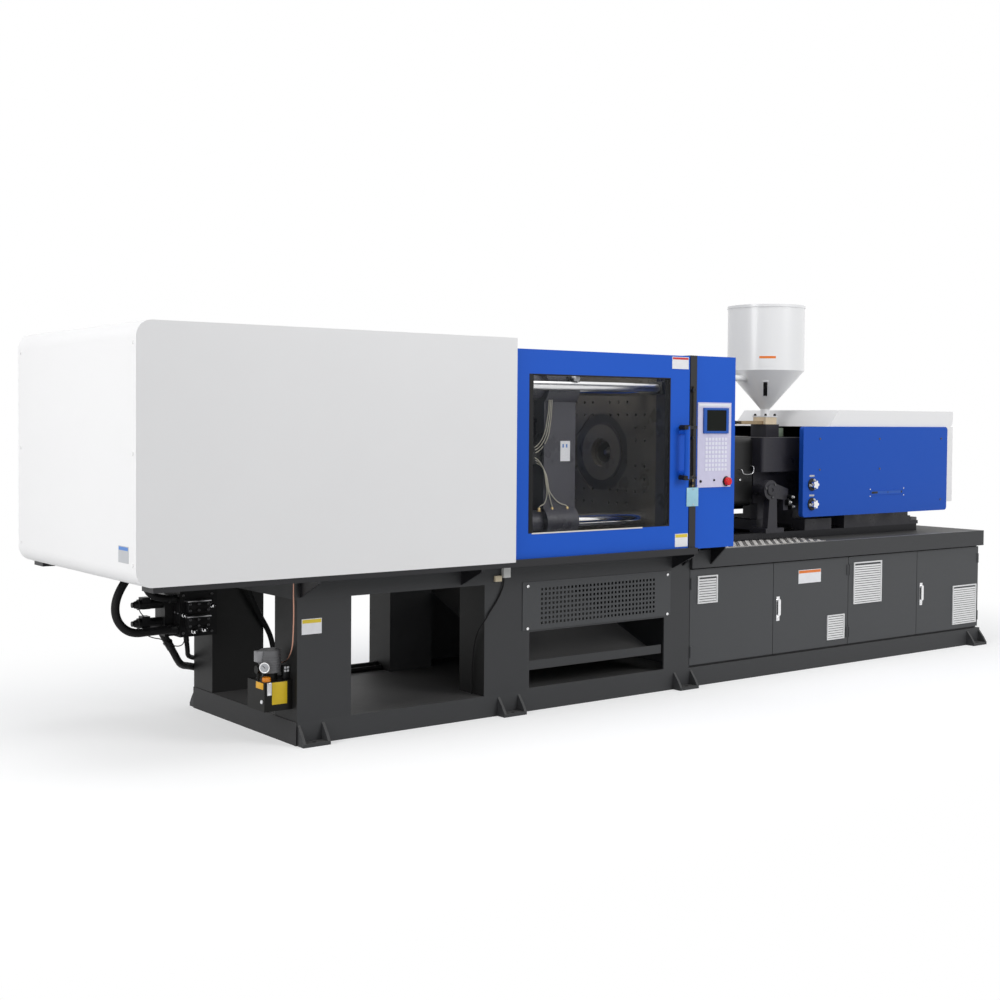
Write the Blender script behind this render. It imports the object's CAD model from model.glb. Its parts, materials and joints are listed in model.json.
"""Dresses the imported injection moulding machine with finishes, trim, fittings, hoses and studio.

The CAD frame gives every rigid form. This script adds what a maker would bolt, stick, plug or
spray onto it, then the floor, the lamps and the camera. All lengths are metres of the row frame.
"""

from __future__ import annotations

import json
import logging
import math
from dataclasses import dataclass
from enum import Enum
from typing import Callable, Sequence

import bpy
from mathutils import Matrix, Vector

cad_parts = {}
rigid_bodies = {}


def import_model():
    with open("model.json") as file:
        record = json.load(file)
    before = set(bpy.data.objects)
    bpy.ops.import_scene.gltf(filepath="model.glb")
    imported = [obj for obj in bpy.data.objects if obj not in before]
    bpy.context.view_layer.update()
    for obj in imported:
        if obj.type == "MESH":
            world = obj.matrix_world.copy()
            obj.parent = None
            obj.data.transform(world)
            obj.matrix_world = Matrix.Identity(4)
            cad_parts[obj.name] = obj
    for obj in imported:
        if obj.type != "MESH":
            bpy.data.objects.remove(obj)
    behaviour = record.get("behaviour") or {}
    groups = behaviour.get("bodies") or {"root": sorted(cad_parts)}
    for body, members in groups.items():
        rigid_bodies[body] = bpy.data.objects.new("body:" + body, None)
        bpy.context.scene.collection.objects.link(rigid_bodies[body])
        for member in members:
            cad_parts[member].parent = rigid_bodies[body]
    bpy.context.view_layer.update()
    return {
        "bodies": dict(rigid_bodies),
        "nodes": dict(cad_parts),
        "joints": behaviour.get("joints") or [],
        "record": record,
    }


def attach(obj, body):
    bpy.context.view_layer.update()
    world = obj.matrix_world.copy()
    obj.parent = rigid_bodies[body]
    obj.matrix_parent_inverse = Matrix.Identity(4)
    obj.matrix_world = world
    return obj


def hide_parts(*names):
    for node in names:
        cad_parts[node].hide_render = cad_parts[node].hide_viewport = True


LOG = logging.getLogger("machine")
Point = tuple[float, float, float]
Colour = tuple[float, float, float]
Profile = tuple[tuple[float, float], ...]
Patch = tuple[Point, Point, Colour]

AXIS_HEIGHT = 1.270
SMOOTH_BELOW = math.radians(35)
PIPE_SMOOTH_BELOW = math.radians(50)
ROUND_ABOVE = math.radians(40)
WHITE = (0.80, 0.795, 0.795)
BLUE = (0.013, 0.100, 0.56)
BLACK = (0.012, 0.012, 0.013)


class Axis(Enum):
    """The row axes, as unit vectors."""

    X = (1.0, 0.0, 0.0)
    Y = (0.0, 1.0, 0.0)
    Z = (0.0, 0.0, 1.0)

    @property
    def index(self) -> int:
        """Position of the axis in a point."""
        return "XYZ".index(self.name)


TURNS = {Axis.X: (0, math.pi / 2, 0), Axis.Y: (-math.pi / 2, 0, 0), Axis.Z: (0, 0, 0)}


class Side(Enum):
    """The two long sides of the machine, by their sign along Y."""

    OPERATOR = -1
    REAR = 1


# ---------------------------------------------------------------- shader expressions


class Wire:
    """A shader socket that takes part in Python arithmetic."""

    def __init__(self, recipe: Recipe, socket: bpy.types.NodeSocket) -> None:
        """Keeps the socket and the recipe that its new nodes go into."""
        self.recipe = recipe
        self.socket = socket

    def _maths(self, operation: str, *values: Wire | float) -> Wire:
        """A new Math node's result, from its operation and its inputs in order."""
        return self.recipe.wire("ShaderNodeMath", {"operation": operation}, *values)

    def __add__(self, other: Wire | float) -> Wire:
        """Sum."""
        return self._maths("ADD", self, other)

    __radd__ = __add__

    def __sub__(self, other: Wire | float) -> Wire:
        """Difference."""
        return self._maths("SUBTRACT", self, other)

    def __rsub__(self, other: Wire | float) -> Wire:
        """Difference, reflected."""
        return self._maths("SUBTRACT", other, self)

    def __mul__(self, other: Wire | float) -> Wire:
        """Product."""
        return self._maths("MULTIPLY", self, other)

    __rmul__ = __mul__

    def power(self, exponent: float) -> Wire:
        """The value raised to a power."""
        return self._maths("POWER", self, exponent)

    def absolute(self) -> Wire:
        """The value without its sign."""
        return self._maths("ABSOLUTE", self)

    def most(self, other: Wire | float) -> Wire:
        """The larger of two values."""
        return self._maths("MAXIMUM", self, other)

    def above(self, edge: float, blur: float = 0.0) -> Wire:
        """A mask that is 1 above an edge.

        Args:
            edge: Where the mask turns on.
            blur: Width over which it turns on.

        Returns:
            The mask.
        """
        if blur <= 0:
            return self._maths("GREATER_THAN", self, edge)
        steps = {"interpolation_type": "SMOOTHSTEP"}
        return self.recipe.wire("ShaderNodeMapRange", steps, self, edge - blur / 2, edge + blur / 2, 0.0, 1.0)

    def below(self, edge: float, blur: float = 0.0) -> Wire:
        """A mask that is 1 below an edge."""
        return 1.0 - self.above(edge, blur)

    def between(self, low: float, high: float) -> Wire:
        """A mask that is 1 between two limits."""
        return self.above(low) * self.below(high)


class Recipe:
    """The node tree of a material or a world, written as expressions."""

    def __init__(self, owner: bpy.types.Material | bpy.types.World) -> None:
        """Empties the owner's node tree.

        Args:
            owner: The material or world that the nodes belong to.
        """
        owner.use_nodes = True
        self.tree = owner.node_tree
        self.tree.nodes.clear()
        self._place: Wire | None = None

    def node(self, kind: str, settings: dict[str, object], *values: object, **named: object) -> bpy.types.Node:
        """Adds one node.

        Args:
            kind: The node's type.
            settings: Its own properties, set before its sockets.
            values: Values or wires for its first sockets, in order; None leaves one alone.
            named: Values or wires for sockets given by name, with _ for a space.

        Returns:
            The node.
        """
        node = self.tree.nodes.new(kind)
        for key, value in settings.items():
            setattr(node, key, value)
        for socket, value in zip(node.inputs, values):
            self.feed(socket, value)
        for key, value in named.items():
            self.feed(node.inputs[key.replace("_", " ")], value)
        return node

    def wire(self, kind: str, settings: dict[str, object], *values: object, **named: object) -> Wire:
        """The first output of a new node, which takes what node() takes."""
        return Wire(self, self.node(kind, settings, *values, **named).outputs[0])

    def feed(self, socket: bpy.types.NodeSocket, value: object) -> None:
        """Links a wire to a socket or writes a plain value into it.

        Args:
            socket: The socket to fill.
            value: A wire, a number, a colour or None for nothing.
        """
        if isinstance(value, Wire):
            self.tree.links.new(value.socket, socket)
        elif isinstance(value, tuple) and socket.type == "RGBA" and len(value) == 3:
            socket.default_value = (*value, 1.0)
        elif value is not None:
            socket.default_value = value

    def place(self) -> Wire:
        """Object coordinates, which are row coordinates in metres.

        Returns:
            The coordinates, from one node for the whole recipe.
        """
        if self._place is None:
            self._place = Wire(self, self.node("ShaderNodeTexCoord", {}).outputs["Object"])
        return self._place

    def parts(self, vector: Wire) -> tuple[Wire, ...]:
        """Splits a vector into its X, Y and Z."""
        return tuple(Wire(self, output) for output in self.node("ShaderNodeSeparateXYZ", {}, vector).outputs)

    def stretch(self, scale: Point) -> Wire:
        """Object coordinates scaled by a different amount on each axis."""
        return self.wire("ShaderNodeMapping", {}, self.place(), None, None, scale)

    def noise(self, scale: float, detail: float = 2.0, rough: float = 0.5, vector: Wire | None = None) -> Wire:
        """Fractal noise between about 0 and 1.

        Args:
            scale: Features per metre.
            detail: Octaves.
            rough: Strength of the finer octaves.
            vector: Coordinates, or None for the object's own.

        Returns:
            The noise value.
        """
        vector = vector or self.place()
        return self.wire("ShaderNodeTexNoise", {}, Vector=vector, Scale=scale, Detail=detail, Roughness=rough)

    def facing_up(self) -> Wire:
        """How far the surface faces the sky, from -1 to 1."""
        return self.parts(Wire(self, self.node("ShaderNodeNewGeometry", {}).outputs["Normal"]))[2]

    def blend(self, factor: Wire | float, first: object, second: object) -> Wire:
        """Mixes two colours.

        Args:
            factor: 0 for the first, 1 for the second.
            first: A colour or wire.
            second: A colour or wire.

        Returns:
            The mixed colour.
        """
        node = self.node("ShaderNodeMix", {"data_type": "RGBA"})
        for socket, value in ((0, factor), (6, first), (7, second)):
            self.feed(node.inputs[socket], value)
        return Wire(self, node.outputs[2])

    def relief(self, height: Wire, depth: float) -> Wire:
        """A bumped normal, from a height of 0 to 1 and the relief's depth in metres."""
        return self.wire("ShaderNodeBump", {}, Strength=1.0, Distance=depth, Height=height)

    def patched(self, colour: Wire, patches: Sequence[Patch]) -> Wire:
        """Lays other colours over a colour.

        Args:
            colour: The colour below.
            patches: The lowest and highest corner of each box of the row frame, and its colour.

        Returns:
            The patched colour.
        """
        for low, high, patch in patches:
            x, y, z = (wire.between(*ends) for wire, *ends in zip(self.parts(self.place()), low, high))
            colour = self.blend(x * y * z, colour, patch)
        return colour

    def shown(self) -> Wire:
        """Tells the camera's rays, and those in gloss and glass, from the rays of light.

        Returns:
            A mask that is 1 for the rays that see the background.
        """
        path = self.node("ShaderNodeLightPath", {})
        camera, glossy, through = (
            Wire(self, path.outputs[name]) for name in ("Is Camera Ray", "Is Glossy Ray", "Is Transmission Ray")
        )
        return camera.most(glossy).most(through)


class Surface(Recipe):
    """A material's recipe, round one Principled shader."""

    def __init__(self, name: str) -> None:
        """Starts a material with its shader and its output.

        Args:
            name: The material's name.
        """
        self.material = bpy.data.materials.new(name)
        super().__init__(self.material)
        self.output = self.node("ShaderNodeOutputMaterial", {})
        self.shader = self.node("ShaderNodeBsdfPrincipled", {})
        self.tree.links.new(self.shader.outputs[0], self.output.inputs[0])

    def finish(self, **sockets: object) -> bpy.types.Material:
        """Fills the shader's sockets.

        Args:
            sockets: Values or wires by the socket's name, with _ for a space.

        Returns:
            The material.
        """
        for key, value in sockets.items():
            self.feed(self.shader.inputs[key.replace("_", " ")], value)
        return self.material


def shade(colour: Colour, factor: float) -> Colour:
    """A colour made lighter or darker."""
    return tuple(min(1.0, part * factor) for part in colour)


# ---------------------------------------------------------------- finishes


@dataclass(frozen=True)
class Finish:
    """A surface finish and the record's slot that it stands for."""

    slot: str

    def build(self, name: str) -> bpy.types.Material:
        """Makes the material.

        Args:
            name: The material's name.

        Returns:
            The material.
        """
        raise NotImplementedError


@dataclass(frozen=True)
class PowderPaint(Finish):
    """Sprayed or powder-coated paint with orange peel, mottling and settled dust."""

    colour: Colour
    rough: float = 0.42
    peel: float = 420.0
    peel_depth: float = 0.00012
    mottle: float = 0.05
    dust: float = 0.10
    dust_colour: Colour = (0.42, 0.40, 0.37)
    coat: float = 0.0
    gloss: float = 0.5
    patches: tuple[Patch, ...] = ()

    def build(self, name: str) -> bpy.types.Material:
        """Makes the material.

        Args:
            name: The material's name.

        Returns:
            The material.
        """
        recipe = Surface(name)
        cloud = recipe.noise(1.6, 3.0, 0.55)
        fine = recipe.noise(self.peel, 2.0, 0.5)
        scuff = recipe.noise(34.0, 5.0, 0.7, recipe.stretch((0.35, 0.35, 1.0)))
        colour = recipe.blend(cloud, shade(self.colour, 1 - self.mottle), shade(self.colour, 1 + self.mottle))
        colour = recipe.patched(colour, self.patches)
        settled = recipe.facing_up().above(0.6, 0.5) * (0.35 + 0.65 * cloud) * self.dust
        return recipe.finish(
            Base_Color=recipe.blend(settled, colour, self.dust_colour),
            Roughness=self.rough + 0.10 * (scuff - 0.5) + 0.12 * (cloud - 0.5) + 0.3 * settled,
            Coat_Weight=self.coat, Coat_Roughness=0.12, Specular_IOR_Level=self.gloss,
            Normal=recipe.relief(fine * 0.8 + scuff * 0.2, self.peel_depth),
        )


@dataclass(frozen=True)
class BareMetal(Finish):
    """Ground, turned or brushed metal, streaked along one axis."""

    colour: Colour
    rough: float
    grain: Point = (4.0, 260.0, 260.0)
    grain_depth: float = 0.00004
    stain: float = 0.15
    stain_colour: Colour = (0.22, 0.19, 0.15)
    patches: tuple[Patch, ...] = ()

    def build(self, name: str) -> bpy.types.Material:
        """Makes the material.

        Args:
            name: The material's name.

        Returns:
            The material.
        """
        recipe = Surface(name)
        streak = recipe.noise(1.0, 4.0, 0.6, recipe.stretch(self.grain))
        film = recipe.noise(7.0, 4.0, 0.6).above(0.58, 0.3) * self.stain
        colour = recipe.blend(streak, shade(self.colour, 0.82), shade(self.colour, 1.12))
        return recipe.finish(
            Base_Color=recipe.patched(recipe.blend(film, colour, self.stain_colour), self.patches),
            Roughness=self.rough + 0.16 * (streak - 0.5) + 0.35 * film, Metallic=1.0,
            Normal=recipe.relief(streak, self.grain_depth),
        )


@dataclass(frozen=True)
class Casting(Finish):
    """A painted iron casting with a grainy skin and oily patches.

    Rings are bands round the machine's axis: inner radius, outer radius and how dark the band is.
    """

    colour: Colour
    rough: float = 0.5
    skin: float = 130.0
    skin_depth: float = 0.0006
    gloss: float = 0.3
    rings: tuple[tuple[float, float, float], ...] = ()

    def build(self, name: str) -> bpy.types.Material:
        """Makes the material.

        Args:
            name: The material's name.

        Returns:
            The material.
        """
        recipe = Surface(name)
        skin = recipe.noise(self.skin, 5.0, 0.62)
        oil = recipe.noise(5.0, 4.0, 0.6).above(0.56, 0.2)
        colour = recipe.blend(skin, shade(self.colour, 0.80), shade(self.colour, 1.20))
        colour = recipe.blend(oil * 0.35, colour, shade(self.colour, 0.55))
        if self.rings:
            _, y, z = recipe.parts(recipe.place())
            away = (y * y + (z - AXIS_HEIGHT) * (z - AXIS_HEIGHT)).power(0.5)
            for inner, outer, factor in self.rings:
                band = away.above(inner, 0.006) * away.below(outer, 0.012)
                colour = recipe.blend(band, colour, shade(self.colour, factor))
        return recipe.finish(
            Base_Color=colour, Roughness=self.rough + 0.14 * (skin - 0.5) - 0.22 * oil,
            Specular_IOR_Level=self.gloss, Normal=recipe.relief(skin, self.skin_depth),
        )


@dataclass(frozen=True)
class Moulded(Finish):
    """Moulded plastic or rubber with a fine skin."""

    colour: Colour
    rough: float
    skin: float = 700.0
    skin_depth: float = 0.00008
    coat: float = 0.0
    gloss: float = 0.4
    patches: tuple[Patch, ...] = ()

    def build(self, name: str) -> bpy.types.Material:
        """Makes the material.

        Args:
            name: The material's name.

        Returns:
            The material.
        """
        recipe = Surface(name)
        skin = recipe.noise(self.skin, 2.0, 0.5)
        hand = recipe.noise(26.0, 4.0, 0.6)
        colour = recipe.blend(hand, shade(self.colour, 0.92), shade(self.colour, 1.08))
        return recipe.finish(
            Base_Color=recipe.patched(colour, self.patches),
            Roughness=self.rough + 0.12 * (hand - 0.5) + 0.06 * (skin - 0.5),
            Coat_Weight=self.coat, Specular_IOR_Level=self.gloss,
            Normal=recipe.relief(skin, self.skin_depth),
        )


@dataclass(frozen=True)
class ClearPane(Finish):
    """A clear sheet with faint wipe marks."""

    tint: Colour

    def build(self, name: str) -> bpy.types.Material:
        """Makes the material.

        Args:
            name: The material's name.

        Returns:
            The material.
        """
        recipe = Surface(name)
        wipe = recipe.noise(3.0, 4.0, 0.6, recipe.stretch((1.0, 1.0, 2.5)))
        recipe.material.surface_render_method = "BLENDED"
        return recipe.finish(
            Base_Color=self.tint, Roughness=0.04 + 0.06 * wipe, Specular_IOR_Level=0.5,
            Alpha=0.02 + 0.02 * wipe.above(0.5, 0.4),
        )


class Look(Enum):
    """Every finish of the machine; a member's name in small letters is its material's name."""

    COVER_WHITE = PowderPaint("white_paint", WHITE, 0.38, dust=0.04, mottle=0.02)
    PANEL_BLUE = PowderPaint("blue_paint", BLUE, 0.40, dust=0.02, gloss=0.15, patches=(
        ((-0.24, -0.70, 0.60), (0.08, 0.70, 0.770), BLACK),
        ((-1.60, -0.6455, 0.70), (-0.30, -0.40, 1.80), BLACK),
        ((0.90, 0.30, 0.86), (2.40, 0.3885, 1.45), BLACK),
        ((0.86, -0.60, 0.70), (2.60, -0.20, 1.50), shade(BLUE, 0.78)),
    ))
    BASE_GREY = PowderPaint(
        "base_paint", (0.038, 0.039, 0.041), 0.55, peel=260.0, peel_depth=0.0003, mottle=0.12, dust=0.12,
        gloss=0.3, patches=(
            ((-0.02, -0.52, 0.7448), (2.60, -0.5065, 0.7510), (0.22, 0.22, 0.225)),
            ((-2.60, -0.52, -0.01), (-2.5705, 0.52, 0.20), (0.020, 0.020, 0.021)),
        ))
    LEG_GREY = PowderPaint(
        "leg_paint", (0.034, 0.035, 0.037), 0.50, peel=240.0, peel_depth=0.0003, mottle=0.12, gloss=0.3, patches=(
            ((-2.60, 0.20, 0.05), (-2.28, 0.53, 0.80), (0.008, 0.008, 0.008)),
            ((-1.5335, -0.52, 0.05), (-1.5322, 0.52, 0.80), (0.004, 0.004, 0.004)),
            ((-2.5768, -0.52, 0.05), (-2.5755, 0.0, 0.80), (0.008, 0.008, 0.008)),
        ))
    CABINET_GREY = PowderPaint(
        "cabinet_paint", (0.056, 0.058, 0.061), 0.52, peel=300.0, peel_depth=0.0002, mottle=0.08, gloss=0.3,
        patches=tuple(((left, -0.6, low), (right, -0.5102, high), (0.78, 0.78, 0.78)) for left, low, right, high in (
            (-0.068, 0.447, 0.093, 0.605), (1.027, 0.152, 1.190, 0.305), (1.268, 0.349, 1.541, 0.607),
            (2.272, 0.143, 2.533, 0.400),
        )))
    FRAME_BLACK = PowderPaint("black_paint", (0.014, 0.014, 0.016), 0.42, mottle=0.10, gloss=0.3, patches=(
        ((-1.4305, -0.535, 0.675), (-1.3875, -0.5102, 0.742), (0.72, 0.72, 0.70)),
        ((-1.4765, -0.525, 0.660), (-1.4355, -0.5102, 0.690), (0.72, 0.62, 0.44)),
    ))
    CARRIAGE_BLACK = Casting("black_paint", (0.028, 0.027, 0.033), 0.48)
    GUARD_SHEET = PowderPaint("guard_steel", (0.010, 0.010, 0.010), 0.38, mottle=0.2, gloss=0.3)
    PLATEN_FACE = Casting("platen_paint", (0.088, 0.078, 0.064), 0.46, skin=60.0, skin_depth=0.0002,
                          rings=((0.0, 0.155, 1.4), (0.158, 0.215, 0.45)))
    MOVING_FACE = Casting("platen_paint", (0.052, 0.050, 0.062), 0.44, skin=70.0, skin_depth=0.0003)
    TOGGLE_CASTING = Casting("link_paint", (0.040, 0.041, 0.046))
    HOUSING_CASTING = Casting("cast_paint", (0.024, 0.023, 0.029), 0.46)
    TIE_CHROME = BareMetal("hard_chrome", (0.86, 0.86, 0.87), 0.14, stain=0.06)
    GROUND_STEEL = BareMetal("ground_steel", (0.46, 0.46, 0.47), 0.34, patches=(
        ((-0.04, -0.40, 0.70), (2.40, 0.40, 0.80), (0.035, 0.035, 0.038)),
    ))
    GATE_STEEL = BareMetal("ground_steel", (0.42, 0.32, 0.20), 0.42, stain=0.5)
    ROD_BRASS = BareMetal("copper_pipe", (0.030, 0.027, 0.022), 0.50, grain=(120.0,) * 3, patches=(
        ((-0.28, -0.67, 1.10), (-0.24, -0.64, 1.16), (0.30, 0.22, 0.10)),
    ))
    ROD_SATIN = BareMetal("hard_chrome", (0.86, 0.86, 0.87), 0.36, stain=0.02)
    TREAD_STEEL = BareMetal("ground_steel", (0.40, 0.39, 0.38), 0.42, grain=(60.0,) * 3)
    BARREL_STEEL = BareMetal("dark_steel", (0.34, 0.32, 0.30), 0.40, stain=0.4)
    FITTING_STEEL = BareMetal("ground_steel", (0.55, 0.55, 0.56), 0.30, grain=(90.0,) * 3)
    DARK_STEEL = BareMetal("dark_steel", (0.12, 0.12, 0.125), 0.42, grain=(90.0,) * 3)
    BRASS_FITTING = BareMetal("copper_pipe", (0.75, 0.56, 0.26), 0.30, grain=(120.0,) * 3)
    COPPER_LINE = BareMetal("copper_pipe", (0.50, 0.27, 0.20), 0.42, grain=(120.0,) * 3)
    BRIGHT_CHROME = BareMetal("hard_chrome", (0.86, 0.86, 0.87), 0.10, grain=(50.0,) * 3, stain=0.05)
    HOPPER_WHITE = PowderPaint("hopper_white", (0.80, 0.80, 0.80), 0.30, coat=0.3, mottle=0.02, dust=0.03)
    THROAT_CREAM = Casting("hopper_white", (0.82, 0.68, 0.48), skin=90.0)
    THROAT_GREEN = Casting("cast_paint", (0.16, 0.20, 0.15), skin=90.0)
    EQUIPMENT_GREY = PowderPaint("equipment_grey", (0.14, 0.16, 0.18), 0.45)
    CLEAR_PANE = ClearPane("clear_pane", (0.20, 0.22, 0.23))
    BLACK_RUBBER = Moulded("black_rubber", (0.006, 0.006, 0.0065), 0.6, skin=300.0, gloss=0.2)
    BLACK_PLASTIC = Moulded("black_plastic", (0.012, 0.012, 0.013), 0.42, gloss=0.25)
    STOP_RED = Moulded("red_plastic", (0.72, 0.014, 0.016), 0.24, coat=0.2, gloss=0.2)
    KEYPAD_FILM = Moulded("keypad_film", (0.64, 0.62, 0.79), 0.36, gloss=0.2, patches=(
        ((-0.165, -0.70, 1.176), (0.014, -0.6443, 1.367), (0.80, 0.80, 0.90)),
    ))
    KEY_WHITE = Moulded("keypad_film", (0.80, 0.80, 0.86), 0.34)
    SCREEN_GLASS = Moulded("screen_plastic", (0.010, 0.012, 0.010), 0.12, gloss=0.06)
    BEZEL_BLUE = Moulded("screen_plastic", (0.020, 0.095, 0.42), 0.36, gloss=0.2)
    SIGHT_DARK = Moulded("screen_plastic", (0.010, 0.010, 0.011), 0.12, coat=0.5)
    VALVE_BLACK = Casting("valve_metal", (0.008, 0.008, 0.0085), 0.42, skin=160.0, gloss=0.2)
    MOTOR_GREY = PowderPaint("lube_plastic", (0.13, 0.13, 0.135), 0.4, mottle=0.08)
    LID_GREY = PowderPaint("lube_plastic", (0.27, 0.27, 0.28), 0.4)
    TANK_SMOKE = Moulded("lube_plastic", (0.010, 0.0098, 0.009), 0.30, gloss=0.12)
    PLATE_YELLOW = Moulded("lube_plastic", (0.66, 0.46, 0.01), 0.4)
    PLATE_AMBER = Moulded("lube_plastic", (0.78, 0.40, 0.01), 0.4)
    CAP_ORANGE = Moulded("lube_plastic", (0.80, 0.26, 0.01), 0.3, coat=0.3)
    LABEL_WHITE = Moulded("white_paint", (0.82, 0.82, 0.84), 0.3)
    LABEL_YELLOW = Moulded("lube_plastic", (0.75, 0.56, 0.04), 0.3)
    LABEL_RED = Moulded("red_plastic", (0.62, 0.03, 0.03), 0.3)
    LABEL_ORANGE = Moulded("lube_plastic", (0.80, 0.20, 0.03), 0.3)
    LABEL_BLUE = Moulded("blue_paint", (0.06, 0.20, 0.55), 0.3)
    LABEL_GREY = Moulded("white_paint", (0.46, 0.47, 0.49), 0.35)
    TRIM_CREAM = Moulded("white_paint", (0.72, 0.68, 0.60), 0.3)
    NYLON_PIPE = Moulded("clear_pane", (0.52, 0.49, 0.40), 0.3, skin=900.0)
    TAG_CYAN = Moulded("white_paint", (0.34, 0.60, 0.70), 0.3)


NODE_LOOKS: dict[Look, str] = {
    Look.BASE_GREY: "base_plinth bed_frame bed_walls parts_shelf",
    Look.LEG_GREY: "legs",
    Look.CABINET_GREY: "cabinet_shell grille_panel cabinet_door_1 cabinet_door_2 cabinet_door_3 cabinet_door_4",
    Look.FRAME_BLACK: "guard_frame",
    Look.CARRIAGE_BLACK: "carriage_frame",
    Look.COVER_WHITE: "clamp_cover_sides clamp_cover_wrap top_cover",
    Look.PANEL_BLUE: "guard_columns front_door rear_door side_covers",
    Look.PLATEN_FACE: "stationary_platen",
    Look.MOVING_FACE: "moving_platen",
    Look.HOUSING_CASTING: "tail_platen clamp_cylinder injection_housing thrust_housing",
    Look.TOGGLE_CASTING: "rear_link_upper rear_link_lower front_link_upper front_link_lower "
                         "crosshead_link_upper crosshead_link_lower crosshead ejector",
    Look.GROUND_STEEL: "bed_slides",
    Look.GATE_STEEL: "slide_gate",
    Look.TREAD_STEEL: "tread_plate",
    Look.BARREL_STEEL: "barrel screw",
    Look.TIE_CHROME: "tie_bars",
    Look.HOPPER_WHITE: "hopper",
    Look.THROAT_CREAM: "hopper_base",
    Look.EQUIPMENT_GREY: "cabinet_equipment",
    Look.GUARD_SHEET: "barrel_guard",
    Look.COPPER_LINE: "copper_pipe",
    Look.VALVE_BLACK: "grease_fittings valve_block",
    Look.CLEAR_PANE: "window_pane",
    Look.KEYPAD_FILM: "keypad_plate",
    Look.BEZEL_BLUE: "screen",
    Look.STOP_RED: "emergency_stop",
    Look.BRIGHT_CHROME: "door_latch_1 door_latch_2 pressure_knob_upper pressure_knob_lower",
    Look.TANK_SMOKE: "lube_unit",
    Look.BLACK_RUBBER: "hose_loop hose_upper hose_lower cover_cable",
}


class Palette:
    """Makes each finish's material once and puts it on pieces."""

    def __init__(self) -> None:
        """Starts with no material."""
        self.built: dict[Look, bpy.types.Material] = {}

    def material(self, look: Look) -> bpy.types.Material:
        """Gives the material of a finish, and builds it when first asked for.

        Args:
            look: The finish.

        Returns:
            Its material.
        """
        if look not in self.built:
            self.built[look] = look.value.build(look.name.lower())
        return self.built[look]

    def dress(self, piece: bpy.types.Object, look: Look) -> None:
        """Gives a new piece its material.

        Args:
            piece: The piece.
            look: Its finish.
        """
        piece.data.materials.clear()
        piece.data.materials.append(self.material(look))

    def cover(self, node: bpy.types.Object, look: Look) -> None:
        """Gives a CAD node a better material on its own slots.

        Args:
            node: The node's object.
            look: Its finish.
        """
        if not node.material_slots:
            node.data.materials.append(self.material(look))
        for slot in node.material_slots:
            slot.material = self.material(look)


# ---------------------------------------------------------------- modelling bench

FaceTest = Callable[[Vector, Vector], bool]


def facing(axis: Axis, sign: int) -> FaceTest:
    """Picks the faces that look one way along an axis."""
    return lambda centre, normal: normal[axis.index] * sign > 0.9


def aimed(direction: Sequence[float], place: Point) -> Matrix:
    """Puts a model that points along +Z at a place, pointing along any direction."""
    turn = Vector((0, 0, 1)).rotation_difference(Vector(direction)).to_matrix().to_4x4()
    return Matrix.Translation(place) @ turn


def turned(axis: Axis, sign: int, places: Sequence[Point]) -> list[Matrix]:
    """Puts a model that points along +Z at places, pointing along a row axis.

    Args:
        axis: The axis that the model's +Z goes to.
        sign: 1 or -1 along it.
        places: Where the model's origin goes.

    Returns:
        One matrix for each place.
    """
    return [aimed(Vector(axis.value) * sign, place) for place in places]


def on_front(y: float, places: Sequence[tuple[float, float]]) -> tuple[Point, ...]:
    """Points on a face that looks to the operator, from their X and Z."""
    return tuple((x, y, z) for x, z in places)


def around(centre: Point, radius: float, angles: Sequence[float]) -> tuple[Point, ...]:
    """Points round a centre in the XZ plane, at angles in degrees."""
    x, y, z = centre
    return tuple((x + radius * math.cos(a), y, z + radius * math.sin(a)) for a in map(math.radians, angles))


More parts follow.
